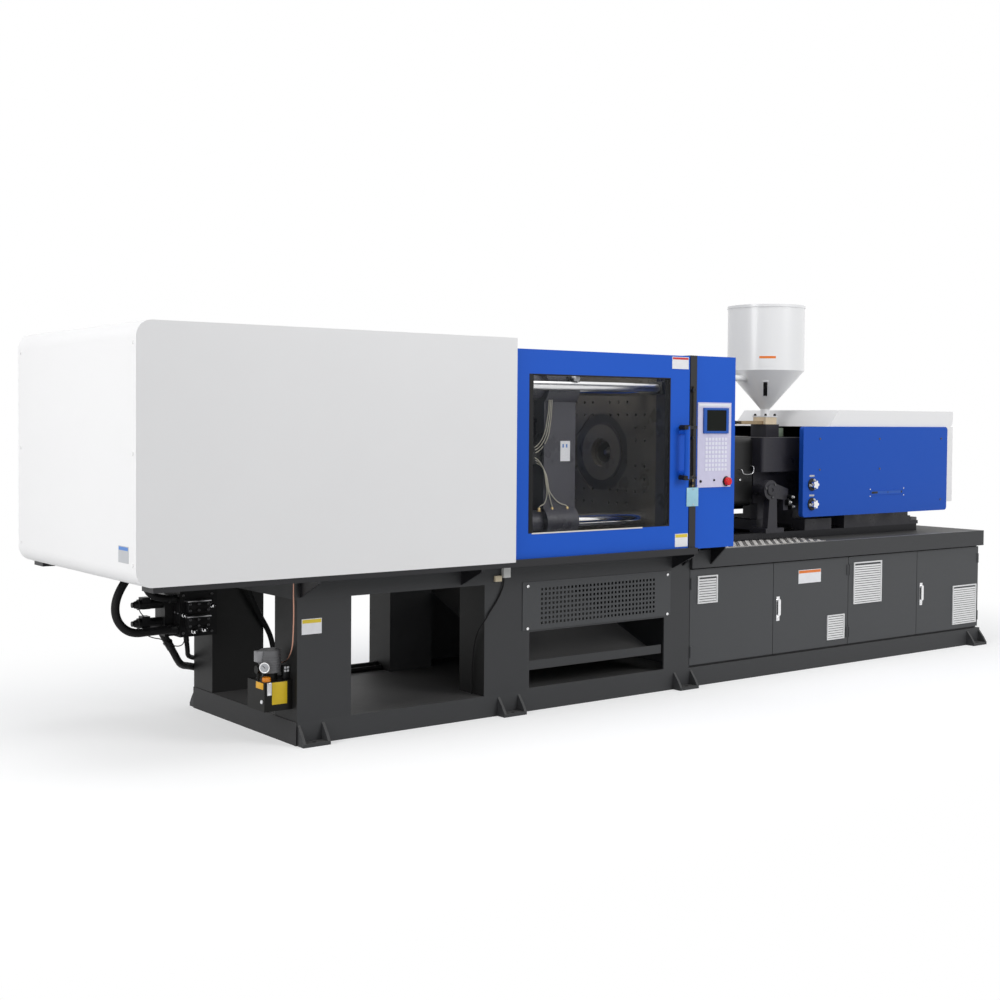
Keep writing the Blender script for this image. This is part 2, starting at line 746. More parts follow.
class Bench:
    """Blender's own modelling tools, called as by hand."""

    @staticmethod
    def clear() -> None:
        """Leaves object mode with nothing selected."""
        if bpy.context.mode != "OBJECT":
            bpy.ops.object.mode_set(mode="OBJECT")
        bpy.ops.object.select_all(action="DESELECT")

    @staticmethod
    def take(piece: bpy.types.Object) -> None:
        """Makes a piece the only selected and active one.

        Args:
            piece: The piece.
        """
        Bench.clear()
        piece.select_set(True)
        bpy.context.view_layer.objects.active = piece

    @staticmethod
    def settle(name: str) -> bpy.types.Object:
        """Names the active piece and moves its place into its mesh.

        Args:
            name: The piece's name.

        Returns:
            The piece.
        """
        piece = bpy.context.object
        piece.name = piece.data.name = name
        bpy.ops.object.transform_apply(location=True, rotation=True, scale=True)
        return piece

    @staticmethod
    def block(name: str, low: Point, high: Point) -> bpy.types.Object:
        """A box between two corners.

        Args:
            name: The piece's name.
            low: Its lowest corner.
            high: Its highest corner.

        Returns:
            The piece.
        """
        Bench.clear()
        centre = tuple((a + b) / 2 for a, b in zip(low, high))
        bpy.ops.mesh.primitive_cube_add(size=1, location=centre)
        bpy.context.object.scale = tuple(abs(b - a) for a, b in zip(low, high))
        return Bench.settle(name)

    @staticmethod
    def rod(name: str, axis: Axis, centre: Point, length: float, radius: float, sides: int) -> bpy.types.Object:
        """A round bar along a row axis.

        Args:
            name: The piece's name.
            axis: Direction of the bar.
            centre: Its middle.
            length: Its length.
            radius: Its radius.
            sides: Faces around it.

        Returns:
            The piece.
        """
        Bench.clear()
        bpy.ops.mesh.primitive_cylinder_add(
            vertices=sides, radius=radius, depth=length, location=centre, rotation=TURNS[axis]
        )
        return Bench.settle(name)

    @staticmethod
    def pick(piece: bpy.types.Object, test: FaceTest) -> int:
        """Enters edit mode with only the faces that pass a test selected.

        Args:
            piece: The piece to edit.
            test: Takes a face's centre and normal.

        Returns:
            How many faces are selected.
        """
        Bench.take(piece)
        bpy.ops.object.mode_set(mode="EDIT")
        bpy.ops.mesh.select_mode(type="FACE")
        bpy.ops.mesh.select_all(action="DESELECT")
        bpy.ops.object.mode_set(mode="OBJECT")
        count = 0
        for face in piece.data.polygons:
            face.select = bool(test(face.center, face.normal))
            count += face.select
        bpy.ops.object.mode_set(mode="EDIT")
        return count

    @staticmethod
    def sink(piece: bpy.types.Object, test: FaceTest, margin: float, depth: float) -> None:
        """Insets the chosen faces and pushes them in, or out for a negative depth.

        Args:
            piece: The piece to edit.
            test: Picks the faces.
            margin: Width of the rim.
            depth: How far the middle moves along its inward normal.
        """
        if Bench.pick(piece, test):
            bpy.ops.mesh.inset(thickness=margin, depth=0)
            bpy.ops.mesh.inset(thickness=1e-5, depth=-depth)
        Bench.clear()

    @staticmethod
    def soften(piece: bpy.types.Object, width: float, segments: int) -> bpy.types.Object:
        """Rounds the sharp edges and smooths the shading.

        Args:
            piece: The piece.
            width: Width of the rounding.
            segments: Steps across it.

        Returns:
            The piece.
        """
        Bench.take(piece)
        bevel = piece.modifiers.new("round", "BEVEL")
        bevel.width = width
        bevel.segments = segments
        bevel.limit_method = "ANGLE"
        bevel.angle_limit = ROUND_ABOVE
        bpy.ops.object.modifier_apply(modifier=bevel.name)
        bpy.ops.object.shade_smooth_by_angle(angle=SMOOTH_BELOW)
        return piece

    @staticmethod
    def join(name: str, pieces: Sequence[bpy.types.Object]) -> bpy.types.Object:
        """Joins pieces into one object.

        Args:
            name: Name of the result.
            pieces: What is joined, the first of them kept.

        Returns:
            The joined piece.
        """
        Bench.clear()
        for piece in pieces:
            piece.select_set(True)
        bpy.context.view_layer.objects.active = pieces[0]
        if len(pieces) > 1:
            bpy.ops.object.join()
        joined = bpy.context.object
        joined.name = joined.data.name = name
        return joined

    @staticmethod
    def copies(name: str, model: bpy.types.Object, places: Sequence[Matrix]) -> bpy.types.Object:
        """Copies a model to several places, joins the copies and removes the model.

        Args:
            name: Name of the result.
            model: The shape, modelled at the origin.
            places: One matrix for each copy.

        Returns:
            The joined copies.
        """
        made = []
        for place in places:
            twin = model.copy()
            twin.data = model.data.copy()
            bpy.context.scene.collection.objects.link(twin)
            twin.data.transform(place)
            made.append(twin)
        bpy.data.objects.remove(model)
        return Bench.join(name, made)

    @staticmethod
    def lathe(name: str, axis: Axis, centre: Point, profile: Profile, sides: int) -> bpy.types.Object:
        """Turns a solid: a disc, extruded and scaled from one step of its profile to the next.

        Args:
            name: The piece's name.
            axis: Axis of the turning.
            centre: A point on it that the profile counts from.
            profile: Pairs of place along the axis and radius, in order; going back makes a hole.
            sides: Steps round the axis.

        Returns:
            The piece.
        """
        Bench.clear()
        along, base = Vector(axis.value), Vector(centre)
        place, radius = profile[0]
        bpy.ops.mesh.primitive_circle_add(
            vertices=sides, radius=radius, fill_type="NGON", location=base + along * place, rotation=TURNS[axis]
        )
        piece = Bench.settle(name)
        bpy.ops.object.mode_set(mode="EDIT")
        bpy.ops.mesh.select_all(action="SELECT")
        for step, width in profile[1:]:
            bpy.ops.mesh.extrude_region_move(TRANSFORM_OT_translate={"value": along * (step - place)})
            if abs(width - radius) > 1e-7:
                bpy.ops.transform.resize(value=(width / radius,) * 3, center_override=base + along * step)
            place, radius = step, width
        bpy.ops.mesh.select_all(action="SELECT")
        bpy.ops.mesh.normals_make_consistent(inside=False)
        bpy.ops.object.mode_set(mode="OBJECT")
        bpy.ops.object.shade_smooth_by_angle(angle=SMOOTH_BELOW)
        return piece

    @staticmethod
    def pipe(name: str, points: Sequence[Point], radius: float) -> bpy.types.Object:
        """A round tube along a smooth NURBS curve, left as a curve.

        Args:
            name: The piece's name.
            points: Control points.
            radius: Radius of the tube.

        Returns:
            The curve object.
        """
        curve = bpy.data.curves.new(name, "CURVE")
        curve.dimensions = "3D"
        spline = curve.splines.new("NURBS")
        spline.points.add(len(points) - 1)
        for control, point in zip(spline.points, points):
            control.co = (*point, 1.0)
        spline.order_u = 3
        spline.use_endpoint_u = True
        spline.resolution_u = 10
        curve.bevel_depth = radius
        curve.bevel_resolution = 4
        curve.use_fill_caps = True
        piece = bpy.data.objects.new(name, curve)
        bpy.context.scene.collection.objects.link(piece)
        return piece

    @staticmethod
    def rigid_pipe(name: str, points: Sequence[Point], radius: float) -> bpy.types.Object:
        """A tube as pipe() makes it, turned into a mesh.

        Args:
            name: The piece's name.
            points: Control points.
            radius: Radius of the tube.

        Returns:
            The piece.
        """
        Bench.take(Bench.pipe(name, points, radius))
        bpy.ops.object.convert(target="MESH")
        bpy.ops.object.shade_smooth_by_angle(angle=PIPE_SMOOTH_BELOW)
        return bpy.context.object


# ---------------------------------------------------------------- kinds of piece


@dataclass(frozen=True)
class Plate:
    """A plate or block with rounded edges.

    The rim is the border's width and the depth of the middle of the side that faces the operator.
    The band is the finish of a stripe along the top of a blank sign, and its part of the height.
    """

    name: str
    low: Point
    high: Point
    look: Look
    edge: float = 0.0005
    steps: int = 2
    rim: tuple[float, float] | None = None
    band: tuple[Look, float] | None = None
    body: str | None = None

    def model(self) -> bpy.types.Object:
        """Models the plate without its band.

        Returns:
            The piece.
        """
        piece = Bench.block(self.name, self.low, self.high)
        if self.rim:
            Bench.sink(piece, facing(Axis.Y, -1), *self.rim)
        return Bench.soften(piece, self.edge, self.steps)

    def stripe(self) -> Plate:
        """Works out the band, as a plate of its own.

        Returns:
            The band's plate.
        """
        (left, front, low), (right, _, high) = self.low, self.high
        look, share = self.band
        return Plate(
            f"{self.name}_band", (left + 0.003, front - 0.0004, high - (high - low) * share),
            (right - 0.003, front + 0.0002, high - 0.003), look, 0.0001, 1, body=self.body,
        )


@dataclass(frozen=True)
class Turning:
    """A turned piece: its axis, the point that its profile counts from, and the profile."""

    name: str
    axis: Axis
    centre: Point
    profile: Profile
    look: Look
    sides: int = 24
    body: str | None = None

    def model(self) -> bpy.types.Object:
        """Models the piece."""
        return Bench.lathe(self.name, self.axis, self.centre, self.profile, self.sides)


class Head(Enum):
    """The heads of the machine's fasteners."""

    SOCKET = "screw"
    HEXAGON = "hex"

    def model(self, radius: float, height: float) -> bpy.types.Object:
        """Models a cap screw's head with its socket, or a hexagon on its washer, pointing up.

        Args:
            radius: Radius of the head without the washer.
            height: Its whole height over the origin.

        Returns:
            The head.
        """
        if self is Head.SOCKET:
            head = Bench.rod("screw", Axis.Z, (0, 0, height / 2), height, radius, 20)
            Bench.sink(head, facing(Axis.Z, 1), radius * 0.42, height * 0.5)
            return Bench.soften(head, radius * 0.14, 1)
        nut = Bench.rod("hex", Axis.Z, (0, 0, height * 0.6), height * 0.8, radius, 6)
        Bench.sink(nut, facing(Axis.Z, 1), radius * 0.3, -height * 0.12)
        Bench.soften(nut, radius * 0.08, 1)
        washer = Bench.rod("washer", Axis.Z, (0, 0, height * 0.1), height * 0.2, radius * 1.25, 20)
        return Bench.join("hex", [nut, Bench.soften(washer, height * 0.05, 1)])


@dataclass(frozen=True)
class Fixings:
    """Equal fasteners that point one way, as one piece; the size is a head's radius and height."""

    name: str
    head: Head
    size: tuple[float, float]
    places: tuple[Point, ...]
    look: Look
    axis: Axis = Axis.Y
    sign: int = -1

    def model(self) -> bpy.types.Object:
        """Models the fasteners."""
        return Bench.copies(self.name, self.head.model(*self.size), turned(self.axis, self.sign, self.places))


@dataclass(frozen=True)
class Cord:
    """A rubber hose or lead: its control points, radius, real length and the CAD node it stands for."""

    name: str
    route: tuple[Point, ...]
    radius: float
    length: float
    node: str = ""
    stiffness: str = "stiff"
    fitted: bool = False


# ---------------------------------------------------------------- sub-assemblies


@dataclass
class Assembly:
    """A sub-assembly that builds its pieces, dresses them and rides them on a CAD body."""

    palette: Palette
    body: str = "base"
    plates: tuple[Plate, ...] = ()
    turnings: tuple[Turning, ...] = ()
    fixings: tuple[Fixings, ...] = ()
    cords: tuple[Cord, ...] = ()

    def add(self, piece: bpy.types.Object, look: Look, body: str | None = None) -> bpy.types.Object:
        """Dresses a piece, rides it on a body and reports it.

        Args:
            piece: The finished piece.
            look: Its finish.
            body: Its body, or None for the sub-assembly's own.

        Returns:
            The piece.
        """
        self.palette.dress(piece, look)
        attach(piece, body or self.body)
        LOG.info("%s rides on %s", piece.name, body or self.body)
        return piece

    def hang(self, cord: Cord) -> None:
        """Adds a cord on one smooth curve, in the place of its CAD solid if it has one.

        Args:
            cord: The cord.
        """
        piece = self.add(Bench.pipe(cord.name, cord.route, cord.radius), Look.BLACK_RUBBER)
        if cord.node:
            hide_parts(cord.node)

    def build(self) -> None:
        """Builds the pieces of the tables, then the others."""
        for plate in self.plates:
            self.add(plate.model(), plate.look, plate.body)
            if plate.band:
                stripe = plate.stripe()
                self.add(stripe.model(), stripe.look, stripe.body)
        for turning in self.turnings:
            self.add(turning.model(), turning.look, turning.body)
        for fixings in self.fixings:
            self.add(fixings.model(), fixings.look)
        for cord in self.cords:
            self.hang(cord)
        self.build_others()

    def build_others(self) -> None:
        """Builds what the tables don't hold."""


@dataclass
class ClampCover(Assembly):
    """The blank label on the end of the pale clamp cover."""

    plates: tuple[Plate, ...] = (
        Plate("cover_label", (-3.4062, -0.602, 0.862), (-3.4048, -0.502, 0.930), Look.LABEL_GREY, 0.0004, 1),
        Plate("cover_label_band", (-3.4065, -0.598, 0.913), (-3.4060, -0.506, 0.927), Look.LABEL_BLUE, 0.0001, 1),
    )


@dataclass
class SafetyDoors(Assembly):
    """Window gasket, handle clamps and blank signs of the front safety door."""

    body: str = "front_door"
    gasket: tuple[tuple[float, float, float, float], ...] = (
        (-1.358, 0.900, -0.426, 0.907), (-1.358, 1.665, -0.426, 1.672), (-1.379, 0.900, -1.351, 1.672),
        (-0.433, 0.907, -0.426, 1.665),
    )
    gasket_y: tuple[float, float] = (-0.6505, -0.6470)
    clamp_heights: tuple[float, ...] = (1.152, 1.415)
    plates: tuple[Plate, ...] = (
        Plate("window_trim", (-1.356, -0.6515, 0.896), (-0.62, -0.6490, 0.903), Look.TRIM_CREAM, 0.0012),
        Plate("door_sign_upper", (-0.418, -0.6512, 1.720), (-0.297, -0.6498, 1.783), Look.LABEL_WHITE, steps=1,
              band=(Look.LABEL_RED, 0.22)),
        Plate("door_sign_lower", (-0.384, -0.6512, 0.787), (-0.290, -0.6498, 0.856), Look.LABEL_WHITE, steps=1,
              band=(Look.LABEL_YELLOW, 0.28)),
    )

    def build_others(self) -> None:
        """Builds the gasket and the clamps."""
        front, back = self.gasket_y
        strips = [Bench.soften(Bench.block("strip", (left, front, low), (right, back, high)), 0.0012, 2)
                  for left, low, right, high in self.gasket]
        self.add(Bench.join("window_gasket", strips), Look.BLACK_RUBBER)
        for number, height in enumerate(self.clamp_heights, 1):
            self.add(self.handle_clamp(f"handle_clamp_{number}", height), Look.BLACK_PLASTIC)

    @staticmethod
    def handle_clamp(name: str, height: float) -> bpy.types.Object:
        """A moulded clamp that ties the handle tube back to the door's edge.

        Args:
            name: The piece's name.
            height: Its height over the floor.

        Returns:
            The clamp.
        """
        profile = ((-0.013, 0.0142), (-0.011, 0.019), (0.011, 0.019), (0.013, 0.0142))
        collar = Bench.lathe(name, Axis.Z, (-0.352, -0.6948, height), profile, 24)
        arm = Bench.block(name, (-0.348, -0.708, height - 0.008), (-0.288, -0.692, height + 0.008))
        Bench.sink(arm, facing(Axis.Y, -1), 0.004, 0.002)
        foot = Bench.rod(name, Axis.Y, (-0.352, -0.668, height), 0.036, 0.0128, 20)
        Bench.sink(foot, facing(Axis.Y, 1), 0.003, -0.001)
        return Bench.join(name, [collar, Bench.soften(arm, 0.003, 2), Bench.soften(foot, 0.001, 1)])


@dataclass
class LatchPost(Assembly):
    """The interlock rod, its guides and the blank tag on the black post beside the door."""

    plates: tuple[Plate, ...] = (
        Plate("post_tag", (-0.304, -0.6545, 0.998), (-0.217, -0.6520, 1.097), Look.TAG_CYAN),
        Plate("post_tag_spacer", (-0.276, -0.6525, 1.006), (-0.236, -0.6495, 1.090), Look.FRAME_BLACK),
        *(Plate(f"rod_guide_{number}", (-0.274, -0.664, height - 0.008), (-0.254, -0.6495, height + 0.008),
                Look.BLACK_PLASTIC, 0.0015, rim=(0.003, 0.0015))
          for number, height in enumerate((1.12, 1.36, 1.61), 1)),
    )
    turnings: tuple[Turning, ...] = (
        Turning("interlock_rod", Axis.Z, (-0.264, -0.657, 0.0),
                ((1.102, 0.003), (1.106, 0.0045), (1.629, 0.0045), (1.633, 0.003)), Look.ROD_BRASS, 16),
    )
    fixings: tuple[Fixings, ...] = (
        Fixings("post_tag_screws", Head.SOCKET, (0.004, 0.003), ((-0.256, -0.6543, 1.008), (-0.256, -0.6543, 1.087)),
                Look.FITTING_STEEL),
    )


@dataclass
class OperatorStation(Assembly):
    """Screen glass, buttons, stop collar and header of the operator's column."""

    plates: tuple[Plate, ...] = (
        Plate("screen_glass", (-0.1545, -0.6502, 1.3965), (-0.0055, -0.6482, 1.5075), Look.SCREEN_GLASS, 0.0004, 1,
              rim=(0.006, 0.0008)),
        Plate("keypad_header", (-0.209, -0.6446, 1.5255), (0.033, -0.6438, 1.5405), Look.KEY_WHITE, 0.0002),
    )
    turnings: tuple[Turning, ...] = (
        Turning("stop_collar", Axis.Y, (0.006, -0.644, 1.125),
                ((0.0, 0.027), (-0.0007, 0.027), (-0.001, 0.0265), (-0.001, 0.0142), (0.0, 0.0142)),
                Look.BLACK_PLASTIC, 32),
        *(Turning(f"panel_button_{number}", Axis.Y, (x, -0.644, z),
                  ((0.0, radius * 1.3), (-0.002, radius * 1.3), (-0.002, radius), (-0.006, radius),
                   (-0.007, radius * 0.8)), Look.BLACK_PLASTIC, 20)
          for number, x, z, radius in ((1, -0.192, 1.128, 0.006), (2, -0.089, 1.133, 0.0045))),
    )


LOCKS = ((1, 0.595, 0.383, "cabinet_door_2"), (2, 1.942, 0.376, "cabinet_door_4"))


@dataclass
class Cabinet(Assembly):
    """Lock plates, lock barrels and the blank sign of the cabinet doors."""

    plates: tuple[Plate, ...] = (
        *(Plate(f"lock_plate_{number}", (x - 0.013, -0.5112, z - 0.078), (x + 0.013, -0.5098, z + 0.062),
                Look.BRIGHT_CHROME, 0.004, 3, body=body) for number, x, z, body in LOCKS),
        Plate("cabinet_sign", (0.770, -0.5112, 0.507), (0.969, -0.5098, 0.585), Look.LABEL_WHITE, steps=1,
              band=(Look.LABEL_ORANGE, 0.24), body="cabinet_door_2"),
    )
    turnings: tuple[Turning, ...] = tuple(
        Turning(f"lock_barrel_{number}", Axis.Y, (x, -0.510, z - 0.064),
                ((0.0, 0.0085), (-0.005, 0.0085), (-0.006, 0.0075), (-0.006, 0.004), (-0.003, 0.004)),
                Look.BRIGHT_CHROME, 20, body) for number, x, z, body in LOCKS
    )


@dataclass
class GrilleAndTread(Assembly):
    """Grille screws and the raised pattern of the tread plate."""

    fixings: tuple[Fixings, ...] = (
        Fixings("grille_screws", Head.SOCKET, (0.008, 0.004),
                on_front(-0.513, ((-1.265, 0.625), (-0.298, 0.625), (-1.265, 0.414), (-0.298, 0.414))),
                Look.BRIGHT_CHROME),
    )
    tread_x: tuple[float, float] = (-0.02, 1.00)
    tread_y: tuple[float, float] = (-0.46, -0.31)
    tread_top: float = 0.750
    column_edge: float = 0.11
    pitch: float = 0.030

    def build_others(self) -> None:
        """Builds rows of raised bars, turned left and right in turn, clear of the column's foot."""
        bar = Bench.block("bar", (-0.012, -0.0028, 0.0), (0.012, 0.0028, 0.0016))
        Bench.pick(bar, facing(Axis.Z, 1))
        bpy.ops.transform.resize(value=(0.72, 0.4, 1.0), center_override=(0, 0, 0.0016))
        (left, right), (front, back) = self.tread_x, self.tread_y
        places = []
        for column in range(int((right - left) / self.pitch)):
            for row in range(-2, int((back - front) / self.pitch) + 1):
                x, y = left + (column + 0.5) * self.pitch, front + (row + 0.5) * self.pitch
                if row >= 0 or x >= self.column_edge:
                    turn = Matrix.Rotation(math.radians(45 if (row + column) % 2 else -45), 4, "Z")
                    places.append(Matrix.Translation((x, y, self.tread_top)) @ turn)
        Bench.clear()
        self.add(Bench.copies("tread_bars", bar, places), Look.TREAD_STEEL)


@dataclass
class MouldArea(Assembly):
    """Grease pipes, fittings and the blank plate on the moving platen, and the safety rod before it."""

    body: str = "platen"
    fitting_x: float = -1.150
    fitting_y: float = -0.372
    fitting_z: tuple[float, ...] = (1.235, 1.249, 1.263, 1.277, 1.291, 1.305)
    elbow_x: tuple[float, ...] = (-1.105, -1.018, -0.916)
    plates: tuple[Plate, ...] = (
        Plate("platen_plate", (-0.964, -0.4012, 1.238), (-0.899, -0.3998, 1.342), Look.LABEL_WHITE, steps=1),
        *(Plate(f"platen_plate_mark_{number}", (x - 0.005, -0.4016, 1.308), (x + 0.005, -0.4010, 1.326),
                Look.LABEL_BLUE, 0.0002, 1) for number, x in ((1, -0.946), (2, -0.922))),
        Plate("safety_rod_bracket", (-0.348, -0.505, 1.588), (-0.3205, -0.405, 1.656), Look.FRAME_BLACK, 0.004,
              body="base"),
        Plate("safety_roller_foot", (-0.945, -0.4475, 1.600), (-0.905, -0.399, 1.672), Look.VALVE_BLACK, 0.003),
    )
    turnings: tuple[Turning, ...] = (
        Turning("safety_rod", Axis.X, (0.0, -0.470, 1.622),
                ((-1.600, 0.018), (-1.594, 0.022), (-0.350, 0.022), (-0.345, 0.020)), Look.ROD_SATIN, 40, "base"),
        Turning("safety_roller", Axis.Y, (-0.925, -0.470, 1.6625),
                ((-0.016, 0.009), (-0.016, 0.016), (-0.013, 0.018), (0.013, 0.018), (0.016, 0.016), (0.026, 0.009)),
                Look.FITTING_STEEL, 28),
    )
    fixings: tuple[Fixings, ...] = (
        Fixings("grease_nuts", Head.HEXAGON, (0.0058, 0.014), tuple((-1.150, -0.372, z) for z in fitting_z),
                Look.BRASS_FITTING, Axis.X, 1),
        Fixings("grease_elbows", Head.HEXAGON, (0.008, 0.018), tuple((x, -0.402, 0.984) for x in elbow_x),
                Look.BRASS_FITTING, Axis.Z, 1),
        Fixings("platen_screws", Head.SOCKET, (0.010, 0.006),
                tuple((-0.863, y, z) for y in (-0.37, 0.37) for z in (1.07, 1.47)), Look.DARK_STEEL, Axis.X, 1),
    )

    def build_others(self) -> None:
        """Builds the grease pipes."""
        for number, height in enumerate(self.fitting_z):
            pipe = Bench.rigid_pipe(f"grease_pipe_{number + 1}", self.pipe_route(number, height), 0.0026)
            self.add(pipe, Look.NYLON_PIPE)

    def pipe_route(self, number: int, z: float) -> list[Point]:
        """The way of one thin pipe: three go down to the elbows and three go up the platen's side.

        Args:
            number: Which fitting it starts from, counted from below.
            z: Height of that fitting.

        Returns:
            Its control points.
        """
        x, y = self.fitting_x + 0.012, self.fitting_y
        if number >= 3:
            lane = (number - 3) * 0.010
            return [(x, y, z), (x + 0.045 - lane * 0.5, y - 0.008, z + 0.003), (x + 0.085 - lane, y - 0.036, z + 0.075),
                    (x + 0.098 - lane, -0.410, z + 0.16), (x + 0.105 - lane, -0.410, 1.49),
                    (x + 0.108 - lane, -0.410, 1.556)]
        lane = number * 0.009
        foot = self.elbow_x[2 - number]
        return [(x, y, z), (x + 0.05 - lane, y - 0.006, z - 0.002), (x + 0.078 - lane, -0.408, z - 0.06),
                (x + 0.088 - lane, -0.410, z - 0.13), (x + 0.100 - lane, -0.410, 1.075),
                ((x + 0.100 + foot) / 2, -0.408, 1.020), (foot, -0.403, 1.012), (foot, -0.402, 0.998)]


KNOBS = ((1, 1.025, 1.074), (2, 1.025, 0.957))
PIVOT = (0.742, 0.320, 1.045)


@dataclass
class InjectionUnit(Assembly):
    """Screws, scale, knob flanges, guard trim and pivot caps of the injection unit."""

    body: str = "carriage"
    plates: tuple[Plate, ...] = (
        Plate("scale_frame", (1.582, -0.3922, 0.995), (1.906, -0.3898, 1.026), Look.PANEL_BLUE, 0.0008, 1,
              rim=(0.005, 0.0012)),
        Plate("scale_strip", (1.588, -0.3914, 1.002), (1.900, -0.3908, 1.019), Look.BEZEL_BLUE, 0.0002, 1),
        *(Plate(f"scale_mark_{number}", (left, -0.3918, 1.004), (right, -0.3912, 1.017), Look.BLACK_PLASTIC, 0.0002)
          for number, left, right in ((1, 1.590, 1.650), (2, 1.750, 1.754), (3, 1.884, 1.896))),
        *(Plate(f"knob_plate_{number}", (x - 0.024, -0.391, z + 0.046), (x + 0.020, -0.3898, z + 0.057),
                Look.LABEL_GREY, 0.0004) for number, x, z in KNOBS),
        Plate("guard_flange", (-0.020, -0.2022, 1.090), (0.705, -0.1998, 1.116), Look.GUARD_SHEET, 0.0006, 1,
              rim=(0.004, 0.0006)),
        Plate("carriage_fitting_1", (0.868, -0.345, 0.950), (0.900, -0.281, 0.985), Look.VALVE_BLACK, 0.003),
        Plate("carriage_fitting_2", (0.884, -0.352, 0.990), (0.908, -0.281, 1.012), Look.VALVE_BLACK, 0.003),
        Plate("carriage_fitting_3", (0.905, -0.340, 0.925), (0.930, -0.281, 0.958), Look.VALVE_BLACK, 0.003),
        Plate("throat_side_plate", (1.1045, -0.058, 1.354), (1.150, -0.040, 1.408), Look.THROAT_GREEN, 0.002),
        Plate("stop_block", (2.124, -0.294, 0.8118), (2.190, -0.240, 0.834), Look.MOTOR_GREY, 0.003),
    )
    turnings: tuple[Turning, ...] = (
        *(Turning(f"knob_ring_{number}", Axis.Y, (x, -0.390, z),
                  ((0.0, 0.038), (-0.004, 0.038), (-0.008, 0.034), (-0.008, 0.0105), (0.0, 0.0105)),
                  Look.BLACK_PLASTIC, 36) for number, x, z in KNOBS),
        Turning("stop_screw", Axis.Z, (2.104, -0.266, 0.846),
                ((0.0, 0.006), (0.008, 0.006), (0.009, 0.013), (0.022, 0.014), (0.026, 0.008)), Look.BLACK_PLASTIC),
        *(Turning(f"pivot_cap_{side.name.lower()}", Axis.Y, (PIVOT[0], side.value * PIVOT[1], PIVOT[2]),
                  ((0.0, 0.034), (side.value * 0.006, 0.034), (side.value * 0.009, 0.030),
                   (side.value * 0.009, 0.012), (side.value * 0.005, 0.012)), Look.CARRIAGE_BLACK, 32)
          for side in Side),
    )
    fixings: tuple[Fixings, ...] = (
        Fixings("cover_screws", Head.SOCKET, (0.0065, 0.003), on_front(-0.390, (
            (1.093, 1.347), (1.092, 1.161), (1.662, 1.345), (1.665, 1.159), (2.30, 1.345), (2.30, 0.95))),
            Look.DARK_STEEL),
        Fixings("scale_screws", Head.SOCKET, (0.004, 0.002),
                on_front(-0.390, ((1.576, 0.989), (1.576, 1.032), (1.912, 0.989), (1.912, 1.032))),
                Look.BRIGHT_CHROME),
        *(Fixings(f"knob_bolts_{number}", Head.HEXAGON, (0.0075, 0.008),
                  around((x, -0.398, z), 0.027, (70, 190, 310)), Look.FITTING_STEEL) for number, x, z in KNOBS),
        Fixings("guard_screws", Head.SOCKET, (0.007, 0.005),
                on_front(-0.2022, ((0.05, 1.103), (0.33, 1.103), (0.600, 1.103))), Look.BRIGHT_CHROME),
        Fixings("carriage_fitting_nuts", Head.HEXAGON, (0.007, 0.012), (
            (0.880, -0.345, 0.970), (0.896, -0.352, 1.001), (0.918, -0.340, 0.942), (0.925, -0.281, 0.985)),
            Look.FITTING_STEEL),
        *(Fixings(f"pivot_bolts_{side.name.lower()}", Head.SOCKET, (0.0070, 0.006),
                  around((PIVOT[0], side.value * PIVOT[1], PIVOT[2]), 0.045, (45, 165, 285)), Look.DARK_STEEL,
                  sign=side.value) for side in Side),
    )
    loop: tuple[Point, ...] = (
        (0.600, -0.199, 1.166), (0.600, -0.222, 1.166), (0.604, -0.224, 1.139), (0.640, -0.224, 1.135),
        (0.680, -0.224, 1.136), (0.697, -0.224, 1.150), (0.700, -0.222, 1.185), (0.700, -0.199, 1.185),
    )

    def build_others(self) -> None:
        """Builds the wire loop on the barrel guard."""
        self.add(Bench.rigid_pipe("guard_loop", self.loop, 0.003), Look.FITTING_STEEL)


